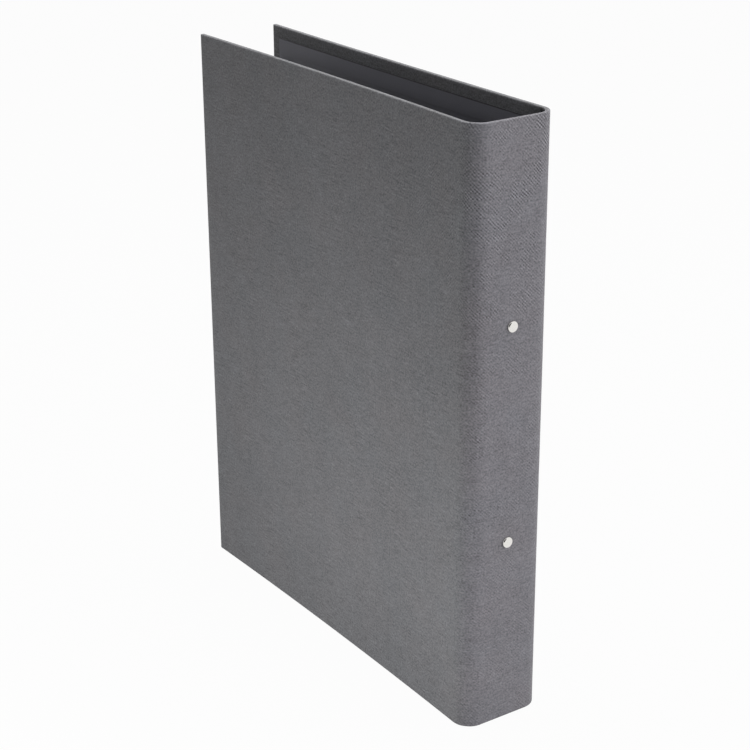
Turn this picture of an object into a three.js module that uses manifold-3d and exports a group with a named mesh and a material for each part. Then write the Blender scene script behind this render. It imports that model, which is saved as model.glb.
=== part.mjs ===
// A4 two-ring binder of cloth-covered board, standing upright with its covers closed.
// Millimetres. Z runs up the spine, X runs across it, and Y runs from the spine to the fore-edge.
// The back cover is on the left (-X) and the front cover on the right, seen from the spine.

import * as THREE from 'three';
import * as BufferGeometryUtils from 'three/addons/utils/BufferGeometryUtils.js';
import Module from 'manifold-3d';

const wasm = await Module();
wasm.setup();

// Case: three boards wrapped in one cloth and lined with paper
const binderHeight = 318;
const coverDepth = 250;
const spineWidth = 49.4;
const bendRadius = 10;
const boardThickness = 1.6;
const clothThickness = 0.4;
const liningThickness = 0.3;
const turnInWidth = 15;
const liningMargin = 6.5;
const liningStepRun = 1.5;
const boardSetback = 1.2;
const creaseHalfWidth = 2.2;
const creaseDepth = 0.25;
const backCoverBow = 1.6;
const frontCoverBow = 0.9;
const foldGap = 0.3;

// Ring mechanism
const rivetPitch = 115;
const rivetHeadRadius = 3;
const rivetHeadHeight = 1.3;
const rivetShankRadius = 1.8;
const rivetLipRadius = 2.9;
const rivetLipHeight = 0.6;
const rivetClearance = 0.25;
const rivetDentDepth = 0.1;
const rivetDentMargin = 0.3;
const spacerWall = 1.2;
const housingEndMargin = 7.5;
const housingRise = 7;
const housingCrownRadius = 15;
const housingHalfChord = 10.2;
const housingSheet = 0.8;
const curlRadius = 1.15;
const curlEndAngle = 20;
const rivetSeatDepth = 2;
const rivetSeatRadius = 3.5;
const rivetSeatFlare = 1;
const leafThickness = 0.8;
const leafRestTilt = 5.5;
const leafEndGap = 2;
const leafCentreGap = 0.4;
const leafPocketReach = 0.35;
const lugLength = 1.2;
const lugWidth = 7;
const lugOffset = 22;
const runningGap = 0.4;

// Rings
const ringPitch = 80;
const ringInnerDiameter = 30;
const ringWireRadius = 1.4;
const ringFootX = 6.6;
const ringFootHeight = 3.2;
const ringFootBend = 2.6;
const ringStakeRadius = 1.75;
const ringStakeHeight = 0.35;
const ringTipGap = 0.3;
const tipNoseRadius = 0.75;
const tipNoseLength = 0.9;
const slotSideGap = 0.6;
const slotInnerReach = 1.7;
const slotOuterReach = 2.8;

// Faceting of the round stretches
const bowSteps = 14;
const bendSteps = 8;
const roundSides = 24;
const wireSides = 10;
const wireSteps = 36;
const archSteps = 10;

// Levels that follow from the sizes above
const halfWidth = spineWidth / 2;
const wallThickness = clothThickness + boardThickness;
const liningTop = wallThickness + liningThickness;
const middle = binderHeight / 2;
const overallDepth = coverDepth + rivetHeadHeight;
const foldAngle = Math.PI / 4;

// Materials
const surface = (color, roughness, metalness) => new THREE.MeshStandardMaterial({ color, roughness, metalness });
const bookCloth = surface(0x6c6b6e, 0.9, 0);
const greyBoard = surface(0xa39c8f, 0.95, 0);
const liningPaper = surface(0x3a3a3e, 0.8, 0);
const nickelSteel = surface(0xc8c7c4, 0.25, 1);

const binder = new THREE.Group();
binder.position.y = rivetHeadHeight - overallDepth / 2;

function addPiece(name, geometry, material) {
  const piece = new THREE.Mesh(geometry, material);
  piece.name = name;
  binder.add(piece);
}

// Joining and cutting
function toSolid(geometry) {
  const bare = geometry.clone();
  bare.deleteAttribute('normal');
  bare.deleteAttribute('uv');
  const merged = BufferGeometryUtils.mergeVertices(bare, 1e-4);
  const vertProperties = new Float32Array(merged.attributes.position.array);
  const triVerts = new Uint32Array(merged.index.array);
  return new wasm.Manifold(new wasm.Mesh({ numProp: 3, vertProperties, triVerts }));
}

function toGeometry(solid) {
  const mesh = solid.getMesh();
  const geometry = new THREE.BufferGeometry();
  geometry.setAttribute('position', new THREE.BufferAttribute(new Float32Array(mesh.vertProperties), 3));
  geometry.setIndex(new THREE.BufferAttribute(new Uint32Array(mesh.triVerts), 1));
  return geometry;
}

const join = (solids) => solids.reduce((whole, solid) => whole.add(solid));
const cut = (solid, tools) => tools.reduce((rest, tool) => rest.subtract(tool), solid);

function block(low, high) {
  const size = high.map((value, i) => value - low[i]);
  const geometry = new THREE.BoxGeometry(...size);
  geometry.translate(...low.map((value, i) => value + size[i] / 2));
  return toSolid(geometry);
}

// A turned piece about an axis that runs along Y at height z. Its profile is [radius, y] pairs.
function turned(profile, z) {
  const geometry = new THREE.LatheGeometry(profile.map(([r, y]) => new THREE.Vector2(r, y)), roundSides);
  geometry.translate(0, 0, z);
  return toSolid(geometry);
}

// Plan lines of the case. A station is a point on its outline with the direction inwards, and dip is how
// far the cloth is pressed in there. side is -1 for the back cover and +1 for the front cover.
function bendStation(side, angle) {
  const x = side * (halfWidth - bendRadius + bendRadius * Math.cos(angle));
  const y = bendRadius - bendRadius * Math.sin(angle);
  return { x, y, inX: -side * Math.cos(angle), inY: Math.sin(angle), dip: creaseDip(angle), onBoard: false };
}

// The cloth is creased along the fold line of each bend
function creaseDip(angle) {
  const share = (angle - foldAngle) * bendRadius / creaseHalfWidth;
  return Math.abs(share) < 1 ? creaseDepth * Math.cos(share * Math.PI / 2) ** 2 : 0;
}

function bendStations(side, from, to) {
  const angles = Array.from({ length: bendSteps + 1 }, (_, i) => from + (to - from) * i / bendSteps);
  return angles.map((angle) => bendStation(side, angle));
}

function coverStations(side, bow) {
  const boardEnd = bendRadius + boardSetback;
  const bowFrom = coverDepth - turnInWidth - liningStepRun;
  const edges = [coverDepth, coverDepth - clothThickness, coverDepth - liningMargin, coverDepth - turnInWidth];
  const bowed = Array.from({ length: bowSteps + 1 }, (_, i) => bowFrom + (boardEnd - bowFrom) * i / bowSteps);
  const flat = [...edges, ...bowed].map((y) => {
    const share = (y - bendRadius) / (coverDepth - bendRadius);
    const x = side * (halfWidth - 4 * bow * share * (1 - share));
    return { x, y, inX: -side, inY: 0, dip: 0, onBoard: true };
  });
  return [...flat, ...bendStations(side, 0, foldAngle - foldGap / 2 / bendRadius)];
}

function spineStations() {
  const toFold = foldAngle + foldGap / 2 / bendRadius;
  const boardEdge = halfWidth - bendRadius - boardSetback;
  const flat = [-boardEdge, boardEdge].map((x) => ({ x, y: 0, inX: 0, inY: 1, dip: 0, onBoard: true }));
  return [...bendStations(-1, toFold, Math.PI / 2), ...flat, ...bendStations(1, Math.PI / 2, toFold)];
}

// Depths below the outline: the cloth's outer face, its underside, and what a turned-in or lining sheet lies on
const clothFace = (station) => station.dip;
const clothUnderside = (station) => station.dip + clothThickness;
const seatDepth = (station) => (station.onBoard ? wallThickness : clothUnderside(station));

// A closed solid between two depths below the outer face, over some stations and heights
function layer(stations, heights, depthLow, depthHigh) {
  const vertices = [];
  for (const depth of [depthLow, depthHigh]) {
    for (const station of stations) {
      for (const z of heights) {
        const d = depth(station, z);
        vertices.push(station.x + station.inX * d, station.y + station.inY * d, z);
      }
    }
  }
  const rows = stations.length;
  const columns = heights.length;
  const at = (side, i, j) => (side * rows + i) * columns + j;
  const index = [];
  const quad = (a, b, c, d) => index.push(a, b, c, a, c, d);
  for (let i = 0; i < rows - 1; i += 1) {
    for (let j = 0; j < columns - 1; j += 1) {
      quad(at(0, i, j), at(0, i, j + 1), at(0, i + 1, j + 1), at(0, i + 1, j));
      quad(at(1, i, j), at(1, i + 1, j), at(1, i + 1, j + 1), at(1, i, j + 1));
    }
    quad(at(0, i, 0), at(0, i + 1, 0), at(1, i + 1, 0), at(1, i, 0));
    const top = columns - 1;
    quad(at(0, i, top), at(1, i, top), at(1, i + 1, top), at(0, i + 1, top));
  }
  for (let j = 0; j < columns - 1; j += 1) {
    quad(at(0, 0, j), at(1, 0, j), at(1, 0, j + 1), at(0, 0, j + 1));
    const end = rows - 1;
    quad(at(0, end, j), at(0, end, j + 1), at(1, end, j + 1), at(1, end, j));
  }
  if (signedVolume(vertices, index) < 0) {
    index.reverse();
  }
  const geometry = new THREE.BufferGeometry();
  geometry.setAttribute('position', new THREE.Float32BufferAttribute(vertices, 3));
  geometry.setIndex(index);
  return geometry;
}

function signedVolume(vertices, index) {
  const corner = (k) => new THREE.Vector3().fromArray(vertices, index[k] * 3);
  let volume = 0;
  for (let k = 0; k < index.length; k += 3) {
    volume += corner(k).dot(corner(k + 1).cross(corner(k + 2))) / 6;
  }
  return volume;
}

const depthOf = (value) => () => value;
const fullHeight = [0, binderHeight];

// The cloth covers the outer face and the edges of a panel, and is turned in at its head and foot
function wrappedCloth(stations) {
  const turnedIn = (station) => seatDepth(station) + clothThickness;
  const sheets = [
    layer(stations, fullHeight, clothFace, clothUnderside),
    layer(stations, [0, clothThickness], clothFace, turnedIn),
    layer(stations, [binderHeight - clothThickness, binderHeight], clothFace, turnedIn),
    layer(stations, [0, turnInWidth], seatDepth, turnedIn),
    layer(stations, [binderHeight - turnInWidth, binderHeight], seatDepth, turnedIn),
  ];
  return join(sheets.map(toSolid));
}

// On a cover it is turned in at the fore-edge too
function foreEdgeCloth(stations) {
  const edge = stations.filter((station) => station.y >= coverDepth - clothThickness);
  const strip = stations.filter((station) => station.y >= coverDepth - turnInWidth);
  const inside = depthOf(wallThickness + clothThickness);
  const sheets = [
    layer(edge, fullHeight, clothFace, inside),
    layer(strip, fullHeight, depthOf(wallThickness), inside),
  ];
  return join(sheets.map(toSolid));
}

function board(stations) {
  const heights = [clothThickness, binderHeight - clothThickness];
  const inside = stations.filter((station) => station.onBoard && station.y <= coverDepth - clothThickness);
  return layer(inside, heights, depthOf(clothThickness), depthOf(wallThickness));
}

// The lining lies on the turned-in cloth round the panel and steps down to the board within it
function lining(stations, hasForeEdge) {
  const stepEnd = turnInWidth + liningStepRun;
  const lower = [liningMargin, turnInWidth, stepEnd];
  const heights = [...lower, ...lower.map((z) => binderHeight - z).reverse()];
  const lies = (station, z) => {
    const nearEnd = z <= turnInWidth || z >= binderHeight - turnInWidth;
    const nearForeEdge = hasForeEdge && station.y >= coverDepth - turnInWidth;
    return seatDepth(station) + (nearEnd || nearForeEdge ? clothThickness : 0);
  };
  const covered = stations.filter((station) => station.y <= coverDepth - liningMargin);
  return layer(covered, heights, lies, (station, z) => lies(station, z) + liningThickness);
}

function addCover(name, side, bow) {
  const stations = coverStations(side, bow);
  const cloth = join([wrappedCloth(stations), foreEdgeCloth(stations)]);
  addPiece(`${name}_board`, board(stations), greyBoard);
  addPiece(`${name}_cloth`, toGeometry(cloth), bookCloth);
  addPiece(`${name}_lining`, lining(stations, true), liningPaper);
}

const rivetHeights = { upper: middle + rivetPitch / 2, lower: middle - rivetPitch / 2 };
const ringHeights = { upper: middle + ringPitch / 2, lower: middle - ringPitch / 2 };

function addSpine() {
  const stations = spineStations();
  const holeRadius = rivetShankRadius + rivetClearance;
  const holeEnd = liningTop + liningThickness;
  // Riveting presses a shallow dent into the cloth round each head
  const dentRadius = rivetHeadRadius + rivetDentMargin;
  const dent = [[0, -rivetHeadHeight], [dentRadius, -rivetHeadHeight], [dentRadius, rivetDentDepth]];
  const hole = [...dent, [holeRadius, rivetDentDepth], [holeRadius, holeEnd], [0, holeEnd]];
  const holes = Object.values(rivetHeights).map((z) => turned(hole, z));
  addPiece('spine_board', toGeometry(cut(toSolid(board(stations)), holes)), greyBoard);
  addPiece('spine_cloth', toGeometry(cut(wrappedCloth(stations), holes)), bookCloth);
  addPiece('spine_lining', toGeometry(cut(toSolid(lining(stations, false)), holes)), liningPaper);
}

// Ring mechanism. Heights above the lining are added to liningTop.
const crownCentre = liningTop + housingRise - housingCrownRadius;
const archInner = housingCrownRadius - housingSheet;
const archAngle = Math.asin(housingHalfChord / housingCrownRadius);
const archMiddle = housingCrownRadius - housingSheet / 2;
const pocketX = archMiddle * Math.sin(archAngle) - curlRadius * Math.sin(archAngle);
const pocketY = crownCentre + (archMiddle - curlRadius) * Math.cos(archAngle);
const housingLength = rivetPitch + 2 * housingEndMargin;
const seatTop = liningTop + housingRise - rivetSeatDepth;
const seatBottom = seatTop - housingSheet;

// The housing is a sprung sheet: a crown arc whose edges curl under to hold the leaves
function housingSection() {
  const quarter = Math.PI / 2;
  const curlOuter = curlRadius + housingSheet / 2;
  const curlInner = curlRadius - housingSheet / 2;
  const curlEnd = -quarter - THREE.MathUtils.degToRad(curlEndAngle);
  const shape = new THREE.Shape();
  shape.absarc(0, crownCentre, housingCrownRadius, quarter + archAngle, quarter - archAngle, true);
  shape.absarc(pocketX, pocketY, curlOuter, quarter - archAngle, curlEnd, true);
  shape.absarc(pocketX, pocketY, curlInner, curlEnd, quarter - archAngle, false);
  shape.absarc(0, crownCentre, archInner, quarter - archAngle, quarter + archAngle, false);
  shape.absarc(-pocketX, pocketY, curlInner, quarter + archAngle, Math.PI - curlEnd, false);
  shape.absarc(-pocketX, pocketY, curlOuter, Math.PI - curlEnd, quarter + archAngle, true);
  return shape;
}

// A round seat is pressed into the crown at each rivet
function rivetSeat(z) {
  const top = liningTop + housingRise + housingSheet;
  const flared = rivetSeatRadius + rivetSeatFlare;
  const cup = turned([[0, seatTop], [rivetSeatRadius, seatTop], [flared, top], [0, top]], z);
  const outside = rivetSeatRadius + housingSheet;
  const shell = turned([[0, seatBottom], [outside, seatBottom], [flared + housingSheet, top], [0, top]], z);
  const bore = rivetShankRadius + rivetClearance;
  const hole = turned([[0, seatBottom - 1], [bore, seatBottom - 1], [bore, top], [0, top]], z);
  return { cup, shell, hole };
}

function addHousing() {
  const settings = { depth: housingLength, bevelEnabled: false, curveSegments: archSteps };
  const sheet = new THREE.ExtrudeGeometry(housingSection(), settings);
  sheet.translate(0, 0, middle - housingLength / 2);
  const crown = new THREE.Shape();
  crown.absarc(0, crownCentre, housingCrownRadius, Math.PI / 2 + archAngle, Math.PI / 2 - archAngle, true);
  const underCrown = new THREE.ExtrudeGeometry(crown, settings);
  underCrown.translate(0, 0, middle - housingLength / 2);
  const seats = Object.values(rivetHeights).map(rivetSeat);
  const pressed = seats.map((seat) => seat.shell.intersect(toSolid(underCrown)));
  const slotHalf = ringWireRadius + slotSideGap;
  const slots = [-1, 1].flatMap((side) => Object.values(ringHeights).map((z) => {
    const edges = [side * (ringFootX - slotInnerReach), side * (ringFootX + slotOuterReach)].sort((a, b) => a - b);
    return block(
      [edges[0], pocketY + housingSheet / 2, z - slotHalf],
      [edges[1], liningTop + housingRise, z + slotHalf],
    );
  }));
  const whole = join([toSolid(sheet), ...pressed]);
  const cuts = [...seats.map((seat) => seat.cup), ...seats.map((seat) => seat.hole), ...slots];
  addPiece('ring_housing', toGeometry(cut(whole, cuts)), nickelSteel);
}

function addRivet(name, z) {
  const edge = 0.35;
  const lipBottom = seatTop;
  const lipTop = seatTop + rivetLipHeight;
  const profile = [
    [0, -rivetHeadHeight],
    [rivetHeadRadius * 0.7, -rivetHeadHeight + edge / 4],
    [rivetHeadRadius - edge, -rivetHeadHeight + edge / 2],
    [rivetHeadRadius, -rivetHeadHeight + edge * 1.5],
    [rivetHeadRadius, rivetDentDepth],
    [rivetShankRadius, rivetDentDepth],
    [rivetShankRadius, lipBottom],
    [rivetLipRadius, lipBottom],
    [rivetLipRadius - edge / 2, lipTop - edge / 2],
    [rivetShankRadius - edge / 2, lipTop],
    [rivetShankRadius / 2, lipBottom],
    [0, lipBottom - edge],
  ];
  addPiece(name, toGeometry(turned(profile, z)), nickelSteel);
}

function addSpacer(name, z) {
  const bore = rivetShankRadius + rivetClearance;
  const outer = bore + spacerWall;
  const profile = [[bore, liningTop], [outer, liningTop], [outer, seatBottom], [bore, seatBottom], [bore, liningTop]];
  addPiece(name, toGeometry(turned(profile, z)), nickelSteel);
}

// A leaf is a flat plate whose outer edge turns in the housing's curl
function addLeaf(name, side, hasLug) {
  const outer = pocketX + leafPocketReach;
  const inner = leafCentreGap / 2;
  const halfLength = housingLength / 2 - leafEndGap;
  const shape = new THREE.Shape();
  shape.moveTo(inner, -halfLength);
  shape.lineTo(outer, -halfLength);
  shape.lineTo(outer, halfLength);
  shape.lineTo(inner, halfLength);
  const settings = { depth: leafThickness, bevelEnabled: false };
  const plate = new THREE.ExtrudeGeometry(shape, settings);
  plate.rotateX(Math.PI / 2);
  plate.translate(0, pocketY + leafThickness / 2, middle);
  const low = pocketY - leafThickness;
  const high = pocketY + leafThickness;
  const reliefRadius = rivetShankRadius + rivetClearance + spacerWall + runningGap;
  const footRadius = ringWireRadius + rivetClearance;
  const roundHole = (x, z, r) => {
    const geometry = new THREE.LatheGeometry(
      [[0, low], [r, low], [r, high], [0, high]].map(([a, b]) => new THREE.Vector2(a, b)),
      roundSides,
    );
    geometry.translate(x, 0, z);
    return toSolid(geometry);
  };
  const reliefs = Object.values(rivetHeights).map((z) => roundHole(0, z, reliefRadius));
  const feet = Object.values(ringHeights).map((z) => roundHole(ringFootX, z, footRadius));
  const lugHalf = lugWidth / 2;
  const lugLevels = [middle - lugOffset, middle + lugOffset];
  let leaf = cut(toSolid(plate), [...reliefs, ...feet]);
  for (const z of lugLevels) {
    if (hasLug) {
      const tabLow = [-lugLength, pocketY - leafThickness / 2, z - lugHalf];
      const tabHigh = [inner + runningGap, pocketY + leafThickness / 2, z + lugHalf];
      leaf = leaf.add(block(tabLow, tabHigh));
    } else {
      const notchLow = [inner - runningGap, low, z - lugHalf - runningGap];
      const notchHigh = [lugLength + runningGap, high, z + lugHalf + runningGap];
      leaf = leaf.subtract(block(notchLow, notchHigh));
    }
  }
  const geometry = toGeometry(leaf);
  geometry.translate(-pocketX, -pocketY, 0);
  geometry.rotateZ(THREE.MathUtils.degToRad(leafRestTilt));
  geometry.translate(pocketX, pocketY, 0);
  addPiece(name, side > 0 ? geometry : mirrored(geometry), nickelSteel);
}

// The same piece on the other side of the spine's centre plane
function mirrored(geometry) {
  const copy = geometry.clone();
  const positions = copy.attributes.position;
  for (let i = 0; i < positions.count; i += 1) {
    positions.setX(i, -positions.getX(i));
  }
  copy.index.array.reverse();
  return copy;
}

// Centre line of a ring half: a straight foot, a bend outwards and the round of the ring to its tip
const ringRadius = ringInnerDiameter / 2 + ringWireRadius;
const footSlope = Math.asin((ringFootX + ringFootBend) / (ringRadius + ringFootBend));
const footBendStart = liningTop + ringFootHeight;
const ringCentre = footBendStart + (ringRadius + ringFootBend) * Math.cos(footSlope);

class RingLine extends THREE.Curve {
  constructor(footEnd, tipX) {
    super();
    this.footEnd = footEnd;
    this.footLength = footBendStart - footEnd;
    this.bendAngle = Math.PI / 2 - footSlope;
    this.bendLength = ringFootBend * this.bendAngle;
    this.roundAngle = Math.PI - footSlope - Math.asin(tipX / ringRadius);
    this.total = this.footLength + this.bendLength + ringRadius * this.roundAngle;
  }

  getPoint(t, target = new THREE.Vector3()) {
    let rest = t * this.total;
    if (rest <= this.footLength) {
      return target.set(ringFootX, this.footEnd + rest, 0);
    }
    rest -= this.footLength;
    if (rest <= this.bendLength) {
      const turn = rest / ringFootBend;
      const x = ringFootX + ringFootBend * (1 - Math.cos(turn));
      return target.set(x, footBendStart + ringFootBend * Math.sin(turn), 0);
    }
    const angle = footSlope + (rest - this.bendLength) / ringRadius;
    return target.set(ringRadius * Math.sin(angle), ringCentre - ringRadius * Math.cos(angle), 0);
  }
}

// Height of the leaf's lower face where the ring's foot goes through it
const tiltSlope = Math.tan(THREE.MathUtils.degToRad(leafRestTilt));
const leafUnderFoot = pocketY - (pocketX - ringFootX + ringStakeRadius) * tiltSlope - leafThickness / 2;

// The foot goes through its leaf and is staked under it, and one tip has a nose that enters the other
function addRingHalf(name, side, z, hasNose) {
  const stakeTop = leafUnderFoot - rivetClearance;
  const line = new RingLine(stakeTop, ringTipGap / 2);
  const section = new THREE.Shape();
  section.absarc(0, 0, ringWireRadius, 0, 2 * Math.PI, false);
  const wire = new THREE.ExtrudeGeometry(section, {
    steps: wireSteps,
    curveSegments: wireSides / 2,
    bevelEnabled: false,
    extrudePath: line,
  });
  const stake = turned([
    [0, stakeTop - ringStakeHeight],
    [ringStakeRadius, stakeTop - ringStakeHeight],
    [ringStakeRadius, stakeTop],
    [0, stakeTop],
  ], 0).translate([ringFootX, 0, 0]);
  let half = toSolid(wire).add(stake);
  const tipHeight = ringCentre + ringRadius;
  const cone = (radius, length, start) => {
    const profile = [[0, start + length], [radius / 2, start + length], [radius, start], [0, start]];
    const geometry = new THREE.LatheGeometry(profile.map(([r, y]) => new THREE.Vector2(r, y)), roundSides / 2);
    geometry.rotateZ(Math.PI / 2);
    return geometry;
  };
  if (hasNose) {
    const nose = cone(tipNoseRadius, tipNoseLength + runningGap, -ringTipGap / 2 - runningGap);
    nose.translate(0, tipHeight, 0);
    half = half.add(toSolid(nose));
  } else {
    const depth = tipNoseLength + 2 * runningGap;
    const socket = cone(tipNoseRadius + runningGap / 2, depth, -ringTipGap / 2 - runningGap);
    socket.rotateZ(Math.PI);
    socket.translate(0, tipHeight, 0);
    half = half.subtract(toSolid(socket));
  }
  const geometry = toGeometry(half);
  geometry.translate(0, 0, z);
  addPiece(name, side > 0 ? geometry : mirrored(geometry), nickelSteel);
}

addSpine();
addCover('back_cover', -1, backCoverBow);
addCover('front_cover', 1, frontCoverBow);
addHousing();
addLeaf('left_leaf', -1, true);
addLeaf('right_leaf', 1, false);
for (const [level, z] of Object.entries(rivetHeights)) {
  addRivet(`${level}_rivet`, z);
  addSpacer(`${level}_spacer`, z);
}
for (const [level, z] of Object.entries(ringHeights)) {
  addRingHalf(`${level}_ring_left_half`, -1, z, true);
  addRingHalf(`${level}_ring_right_half`, 1, z, false);
}

export default binder;
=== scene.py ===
"""Cloth-covered ring binder: its cloth, lining and plated mechanism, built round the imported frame."""

import math

import bmesh
import bpy
from bpy.props import FloatProperty, FloatVectorProperty, IntProperty, PointerProperty
from mathutils import Matrix, Vector, noise


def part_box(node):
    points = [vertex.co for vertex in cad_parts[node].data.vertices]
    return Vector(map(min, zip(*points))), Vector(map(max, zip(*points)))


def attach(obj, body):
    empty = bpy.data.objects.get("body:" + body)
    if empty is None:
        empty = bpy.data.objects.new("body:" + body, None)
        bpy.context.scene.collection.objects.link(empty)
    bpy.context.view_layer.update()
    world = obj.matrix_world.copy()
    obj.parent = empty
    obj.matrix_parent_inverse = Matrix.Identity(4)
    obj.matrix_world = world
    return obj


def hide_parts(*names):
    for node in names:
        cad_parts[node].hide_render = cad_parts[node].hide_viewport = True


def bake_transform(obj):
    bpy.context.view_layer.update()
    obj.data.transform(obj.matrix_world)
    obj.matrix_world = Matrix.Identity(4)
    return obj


bl_info = {
    "name": "Ring Binder",
    "version": (1, 0, 0),
    "blender": (4, 5, 0),
    "location": "View3D > Sidebar > Binder",
    "description": "Builds a cloth-covered ring binder with its two-ring mechanism",
    "category": "Add Mesh",
}

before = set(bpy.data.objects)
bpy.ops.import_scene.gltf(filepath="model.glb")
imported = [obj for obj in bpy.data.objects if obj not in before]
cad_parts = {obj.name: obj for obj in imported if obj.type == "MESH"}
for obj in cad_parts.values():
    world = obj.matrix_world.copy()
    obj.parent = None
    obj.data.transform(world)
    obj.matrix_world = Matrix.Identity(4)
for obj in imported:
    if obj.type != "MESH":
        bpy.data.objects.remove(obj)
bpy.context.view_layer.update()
MM = 0.001
SHARP_EDGE = math.radians(50)
SAME_PLACE = 0.001 * MM
CORNER_SHARE = 1.2
LINING_THICKNESS = 0.3 * MM
WHITE = (1, 1, 1, 1)


def linear(code):
    """An sRGB hex colour as linear red, green and blue."""
    parts = [int(code[i:i + 2], 16) / 255 for i in (1, 3, 5)]
    return tuple(c / 12.92 if c <= 0.04045 else ((c + 0.055) / 1.055) ** 2.4 for c in parts)


def length(name, value, description):
    return FloatProperty(name=name, description=description, default=value, min=0, unit="LENGTH",
                         subtype="DISTANCE", precision=5)


def coordinate(name, value, description):
    return FloatProperty(name=name, description=description, default=value, unit="LENGTH")


def degrees(name, value, description):
    return FloatProperty(name=name, description=description, default=value)


def strength(name, value, description):
    return FloatProperty(name=name, description=description, default=value, min=0)


def colour(name, code, description):
    return FloatVectorProperty(name=name, description=description, default=linear(code), size=3,
                               min=0, max=1, subtype="COLOR")


COVER_LOW, COVER_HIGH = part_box("back_cover_cloth")
FRONT_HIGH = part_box("front_cover_cloth")[1]
SPINE_LOW, SPINE_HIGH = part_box("spine_cloth")
BOARD_LOW, BOARD_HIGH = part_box("spine_board")
LINING_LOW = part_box("back_cover_lining")[0]


class BinderCase(bpy.types.PropertyGroup):
    """Sizes of the cloth-covered case"""

    height: length("Height", SPINE_HIGH.z - SPINE_LOW.z, "Height of the binder")
    width: length("Spine width", FRONT_HIGH.x - COVER_LOW.x, "Width over both covers")
    depth: length("Depth", COVER_HIGH.y - SPINE_LOW.y, "Spine face to fore-edge")
    bend: length("Bend radius", 10 * MM, "Outer radius of the cloth where it bends round the spine")
    cloth: length("Cloth", BOARD_LOW.y - SPINE_LOW.y, "Thickness of the book cloth")
    board: length("Board", BOARD_HIGH.y - BOARD_LOW.y, "Thickness of the board in the cloth")
    lining: length("Lining", LINING_THICKNESS, "Thickness of the lining paper")
    turn_in: length("Turn-in", 15 * MM, "Width of the cloth turned in over the boards")
    margin: length("Margin", LINING_LOW.z - SPINE_LOW.z, "Cloth left bare round the lining")
    step_run: length("Step run", 1.5 * MM, "Run over which the lining steps down from the turn-in")
    setback: length("Setback", 1.2 * MM, "Gap between a board and the bend")
    edge_round: length("Edge round", 0.5 * MM, "Radius of the cloth over the boards' edges")
    end_fold: length("End fold", 6 * MM, "Height over which the turned-in cloth fills out the ends of a bend")
    back_bow: length("Back bow", 1.6 * MM, "How far the back cover bows inwards")
    front_bow: length("Front bow", 0.9 * MM, "How far the front cover bows inwards")
    crease: length("Crease", 0.15 * MM, "Depth of the crease along the back cover's fold line")
    front_crease: length("Front crease", 0.04 * MM, "The same for the front cover")
    crease_width: length("Crease width", 2.2 * MM, "Half width of that crease")
    waviness: length("Waviness", 0.1 * MM, "Unevenness of the glued cloth")
    cloth_colour: colour("Cloth", "#6C6B6F", "Colour of the book cloth")
    fleck_colour: colour("Flecks", "#9A999B", "Colour of the pale fibres in the cloth")
    lining_colour: colour("Lining", "#74747B", "Colour of the lining paper")
    board_colour: colour("Board", "#8E887D", "Colour of the grey board")
    # Painted shade: a near-black band along the lining's cut edge stands in for the shadow under the paper's
    # edge. These two settings give its width and colour.
    edge_shade_width: length("Glued edge", 0.7 * MM, "Width of the dark line along the lining's edge")
    edge_shade_colour: colour("Lining edge", "#0A0A0B", "Colour of the lining's glued edge")
    weave_pitch: length("Weave pitch", 1.28 * MM, "Spacing of the diagonal ridges of the weave")
    weave_relief: strength("Weave", 0.17, "Strength of the diagonal ridges")
    fibre_relief: strength("Fibre", 1.0, "Strength of the uneven fibres")


class BinderMechanism(bpy.types.PropertyGroup):
    """Sizes of the ring mechanism"""

    ring_inside: length("Ring inside", 30 * MM, "Inner diameter of a closed ring")
    wire_radius: length("Wire radius", 1.4 * MM, "Radius of the ring wire")
    foot_x: length("Foot", 6.6 * MM, "Distance of a ring's foot from the middle of the spine")
    foot_height: length("Foot height", 3.2 * MM, "Height over the lining at which the wire starts to bend")
    foot_bend: length("Foot bend", 2.6 * MM, "Radius of that bend")
    tip_gap: length("Tip gap", 0.3 * MM, "Gap between the closed tips")
    nose_radius: length("Nose radius", 0.75 * MM, "Radius of the nose on a tip")
    nose_length: length("Nose length", 0.9 * MM, "Length of the nose on a tip")
    ring_pitch: length("Ring pitch", 80 * MM, "Distance between the rings")
    rivet_pitch: length("Rivet pitch", 115 * MM, "Distance between the rivets")
    wire_sides: IntProperty(name="Wire sides", description="Faces round a wire", default=24, min=8)
    plate_colour: colour("Plate", "#E6E4E0", "Colour of the nickel plate")


class BinderStage(bpy.types.PropertyGroup):
    """Camera, light and floor"""

    lens: FloatProperty(name="Lens", description="Focal length in mm, for a sensor 36 mm wide",
                        default=88.67, min=10)
    azimuth: degrees("Azimuth", -34.28, "Camera's turn round the object, degrees")
    elevation: degrees("Elevation", 21.98, "Camera's height angle, degrees")
    roll: degrees("Roll", -0.29, "Camera's roll, degrees")
    camera_x: coordinate("Camera X", -0.519, "Camera across the spine")
    camera_y: coordinate("Camera Y", -0.645, "Camera from the spine face")
    camera_z: coordinate("Camera Z", 0.525, "Camera over the floor")
    sky: strength("Sky", 0.12, "Strength of the plain surrounding light")
    key: strength("Key", 23.0, "Power of the soft lamp before the spine, watts")
    card: strength("Card", 1.08, "Power of the low lamp beside the cover, watts")
    top: strength("Top", 17.0, "Power of the soft lamp overhead, watts")
    floor_colour: colour("Floor", "#909090", "Colour of the floor")
    room_radius: length("Room radius", 1.0, "Radius of the unlit side of the room behind the camera")
    room_distance: length("Room distance", 1.2, "Its distance from the spine")
    room_height: length("Room height", 0.16, "Height that it is centred on")
    room_colour: colour("Room", "#1A1A1A", "Its colour, as mirrored in the metal")


# Materials

def new_material(name):
    material = bpy.data.materials.new(name)
    material.use_nodes = True
    material.node_tree.nodes.clear()
    return material


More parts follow.
